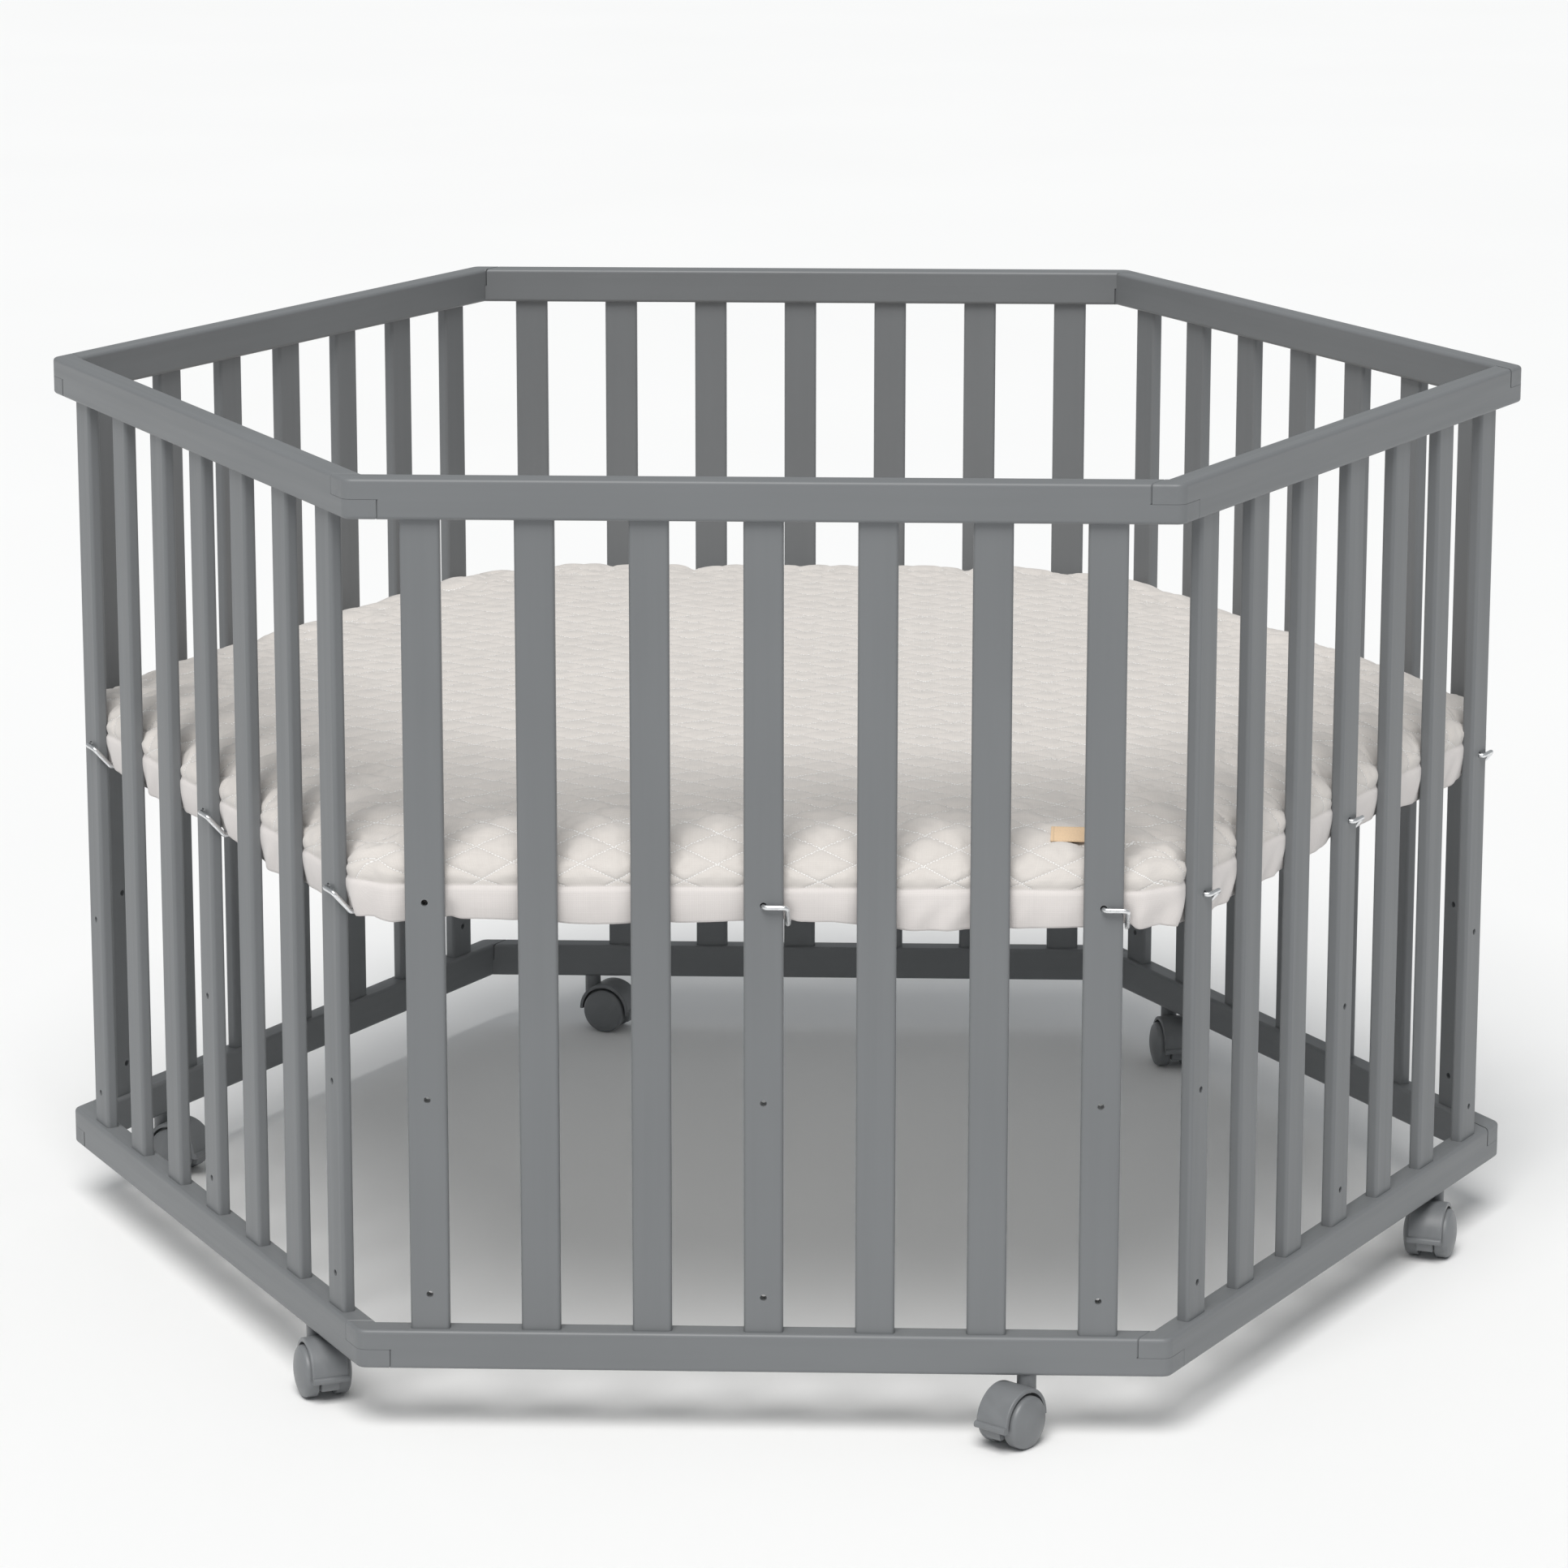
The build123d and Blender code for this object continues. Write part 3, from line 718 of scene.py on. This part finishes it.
                push = swell + (0.0013 * fold + 0.0012 * ripple) * smooth(0.15, 0.75, t)
                push = push - 0.0022 * at_hook * smooth(0.3, 0.9, t)
                plan = rim_plan + direction * push[:, None]
                last = plan, z
            else:
                turn = (j - self.band_rings) / self.lip_rings
                plan = last[0] + (lip - last[0]) * sin(turn * pi / 2)
                z = last[1] + (MAT_BOX[0].z - last[1]) * (1 - cos(turn * pi / 2))
            points.append(np.column_stack([plan, z]))
            unfolded.append(cloth[rim] + direction * (BAND_CLOTH * j / self.band_rings))
            ring = np.arange(start, start + count)
            following = np.roll(ring, -1)
            skin.extend(zip(previous, ring, following, np.roll(previous, -1)))
            previous = ring
            start += count
        skin.append(tuple(reversed(previous)))
        skin = [tuple(int(i) for i in face) for face in skin]
        return np.concatenate(points), np.concatenate(unfolded), skin, plain_from

    def finish_cover(self, piece, unfolded, plain_from):
        """Unfolded coordinates, the two cloths and smooth shading."""
        mesh = piece.data
        layer = mesh.uv_layers.new(name="cloth")
        corners = np.empty(len(mesh.loops), dtype=np.int32)
        mesh.loops.foreach_get("vertex_index", corners)
        layer.data.foreach_set("uv", unfolded[corners].reshape(-1))
        kinds = (np.arange(len(mesh.polygons)) >= plain_from).astype(np.int32)
        mesh.polygons.foreach_set("material_index", kinds)
        make_current(piece)
        bpy.ops.object.mode_set(mode="EDIT")
        bpy.ops.mesh.select_all(action="SELECT")
        bpy.ops.mesh.normals_make_consistent(inside=False)
        bpy.ops.object.mode_set(mode="OBJECT")
        bpy.ops.object.shade_smooth()


class PLAYPEN_OT_label(bpy.types.Operator):
    """Make the blank label on the mat's front shoulder, lying on the quilting"""

    bl_idname = "playpen.label"
    bl_label = "Mat label"

    inward = 0.005          # how far from its packed place it lies towards the mat's middle
    tilt = radians(-3)      # how far it is turned on the mat, seen from above
    seat = 0.8              # 1 rests it on the highest puff, 0 sinks it to their mean height

    def execute(self, context):
        colours = context.scene.playpen_colours
        low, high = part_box("mat_label")
        size = high - low
        middle = (low + high) / 2
        deselect()
        bpy.ops.mesh.primitive_plane_add(size=1, location=(0, 0, 0))
        piece = context.active_object
        piece.name = "mat_label_tape"
        bpy.ops.object.mode_set(mode="EDIT")
        bpy.ops.mesh.select_all(action="SELECT")
        bpy.ops.transform.resize(value=(size.x, size.y, 1))
        bpy.ops.mesh.subdivide(number_cuts=23)
        bpy.ops.object.mode_set(mode="OBJECT")
        points = read_points(piece.data)
        cover = bpy.data.objects["mat_cover"]
        context.view_layer.update()
        laid = []
        for x, y, _ in points:
            px = middle.x + x * cos(self.tilt) - y * sin(self.tilt)
            py = middle.y + self.inward + x * sin(self.tilt) + y * cos(self.tilt)
            hit, place, *_ = cover.ray_cast(Vector((px, py, 0.6)), Vector((0, 0, -1)))
            if not hit:
                raise RuntimeError("the label lies off the mat")
            laid.append((px, py, place.z))
        laid = np.array(laid)
        even = np.polyval(np.polyfit(points[:, 1], laid[:, 2], 1), points[:, 1])
        laid[:, 2] = even + self.seat * (laid[:, 2] - even).max() + 0.0004
        write_points(piece.data, laid)
        solid = piece.modifiers.new("thickness", "SOLIDIFY")
        solid.thickness = size.z
        solid.offset = 1
        soften = piece.modifiers.new("edge", "BEVEL")
        soften.width = size.z * 0.35
        soften.segments = 2
        make_current(piece)
        bpy.ops.object.modifier_apply(modifier="thickness")
        bpy.ops.object.modifier_apply(modifier="edge")
        bpy.ops.object.shade_smooth()
        give(piece, label_cloth("label tape", colours.label))
        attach(piece, "floor")
        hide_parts("mat_label")
        return {"FINISHED"}


# ------------------------------------------------------------------ finishes of the frame's pieces
class PLAYPEN_OT_woodwork(bpy.types.Operator):
    """Paint the rails and slats, each with the grain along its own length"""

    bl_idname = "playpen.woodwork"
    bl_label = "Woodwork"

    def execute(self, context):
        paint = context.scene.playpen_colours.paint
        slat_paint = painted_wood("slat paint", paint, "up")
        rail_paint = {i: painted_wood(f"rail paint {i}", paint, i * SIXTH) for i in range(3)}
        for i, side in enumerate(SIDES):
            give(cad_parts[f"slats_{side}"], slat_paint)
            for level in ("top", "bottom"):
                give(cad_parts[f"{level}_rail_{side}"], rail_paint[i % 3])
        return {"FINISHED"}


class PLAYPEN_OT_metalwork(bpy.types.Operator):
    """Plate the hooks and give the bolts, inserts, pins and sleeves their metals"""

    bl_idname = "playpen.metalwork"
    bl_label = "Metalwork"

    def execute(self, context):
        zinc = zinc_wire("zinc wire", context.scene.playpen_colours.zinc)
        for side in SIDES:
            give(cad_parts[f"hooks_{side}"], zinc)
        steel = turned_steel("turned steel", (0.60, 0.60, 0.61), 0.3)
        for node in ("castor_pins", "castor_sleeves", "corner_bolts"):
            give(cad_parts[node], steel)
        for side in SIDES:
            give(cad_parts[f"castor_axle_{side}"], steel)
        give(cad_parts["corner_inserts"], turned_steel("brass", (0.78, 0.58, 0.28), 0.34))
        return {"FINISHED"}


class PLAYPEN_OT_castors(bpy.types.Operator):
    """Give the hoods and wheels their moulded grey plastic"""

    bl_idname = "playpen.castors"
    bl_label = "Castors"

    def execute(self, context):
        plastic = moulded_plastic("castor plastic", context.scene.playpen_colours.plastic)
        for side in SIDES:
            for part in ("hood", "wheel_left", "wheel_right"):
                give(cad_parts[f"castor_{part}_{side}"], plastic)
        return {"FINISHED"}


class PLAYPEN_OT_floor(bpy.types.Operator):
    """Finish the two halves of the floor board and the strip that joins them"""

    bl_idname = "playpen.floor"
    bl_label = "Floor board"

    def execute(self, context):
        board = fibreboard("fibreboard")
        for half in ("left", "right"):
            give(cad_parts[f"floor_board_{half}"], board)
        give(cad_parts["floor_joiner"], white_profile("white profile"))
        return {"FINISHED"}


# ------------------------------------------------------------------ studio
class PLAYPEN_OT_studio(bpy.types.Operator):
    """Set up a plain pale floor, one soft light, a white surround and the camera"""

    bl_idname = "playpen.studio"
    bl_label = "Studio"

    floor_size = 40
    key_from = (-0.08, -0.50, 0.86)         # the way towards the key light
    key_angle = radians(35)                 # how wide it looks; wider gives softer shadows
    key_colour = (1.0, 0.988, 0.970)
    surround_colour = (0.94, 0.975, 1.0, 1.0)
    camera_at = (0.1153, -3.9844, 1.3897)
    camera_turn = (pi / 2 - 0.2036, -0.0009, 0.02916)
    camera_shift = -0.15                    # how far the view is moved down, in widths of the picture

    def execute(self, context):
        studio = context.scene.playpen_studio
        deselect()
        bpy.ops.mesh.primitive_plane_add(size=self.floor_size, location=(0, 0, 0))
        ground = context.active_object
        ground.name = "studio_floor"
        give(ground, studio_floor("studio floor"))
        world = bpy.data.worlds.new("studio")
        context.scene.world = world
        world.use_nodes = True
        background = world.node_tree.nodes["Background"]
        background.inputs["Color"].default_value = self.surround_colour
        background.inputs["Strength"].default_value = studio.surround
        context.scene.view_settings.view_transform = "Standard"
        data = bpy.data.lights.new("key", "SUN")
        data.energy = studio.key
        data.color = self.key_colour
        data.angle = self.key_angle
        key = bpy.data.objects.new("key", data)
        key.rotation_euler = Vector(self.key_from).to_track_quat("Z", "Y").to_euler()
        context.collection.objects.link(key)
        self.camera(context, studio)
        return {"FINISHED"}

    def camera(self, context, studio):
        data = bpy.data.cameras.new("camera")
        data.sensor_width = 36                  # millimetres, as focal_length says
        data.lens = studio.focal_length
        data.shift_y = self.camera_shift
        camera = bpy.data.objects.new("camera", data)
        camera.location = self.camera_at
        camera.rotation_euler = self.camera_turn
        context.collection.objects.link(camera)
        context.scene.camera = camera


# ------------------------------------------------------------------ add-on
OPERATORS = (
    PLAYPEN_OT_studio,
    PLAYPEN_OT_woodwork,
    PLAYPEN_OT_metalwork,
    PLAYPEN_OT_castors,
    PLAYPEN_OT_floor,
    PLAYPEN_OT_mat,
    PLAYPEN_OT_label,
)


class PLAYPEN_PT_sidebar(bpy.types.Panel):
    """Sizes, colours and steps of the playpen"""

    bl_idname = "PLAYPEN_PT_sidebar"
    bl_label = "Playpen"
    bl_space_type = "VIEW_3D"
    bl_region_type = "UI"
    bl_category = "Playpen"

    def draw(self, context):
        for name in GROUPS.values():
            box = self.layout.box()
            settings = getattr(context.scene, name)
            for field in settings.bl_rna.properties:
                if field.identifier not in ("rna_type", "name"):
                    box.prop(settings, field.identifier)
        for operator in OPERATORS:
            self.layout.operator(operator.bl_idname)


GROUPS = {
    PlaypenColours: "playpen_colours",
    PlaypenMat: "playpen_mat",
    PlaypenStudio: "playpen_studio",
}


def register():
    for cls in (*GROUPS, *OPERATORS, PLAYPEN_PT_sidebar):
        bpy.utils.register_class(cls)
    for group, name in GROUPS.items():
        setattr(bpy.types.Scene, name, PointerProperty(type=group))


def unregister():
    for name in GROUPS.values():
        delattr(bpy.types.Scene, name)
    for cls in reversed((*GROUPS, *OPERATORS, PLAYPEN_PT_sidebar)):
        bpy.utils.unregister_class(cls)


def main():
    register()
    for operator in OPERATORS:
        group, name = operator.bl_idname.split(".")
        getattr(getattr(bpy.ops, group), name)()


if __name__ == "__main__":
    main()
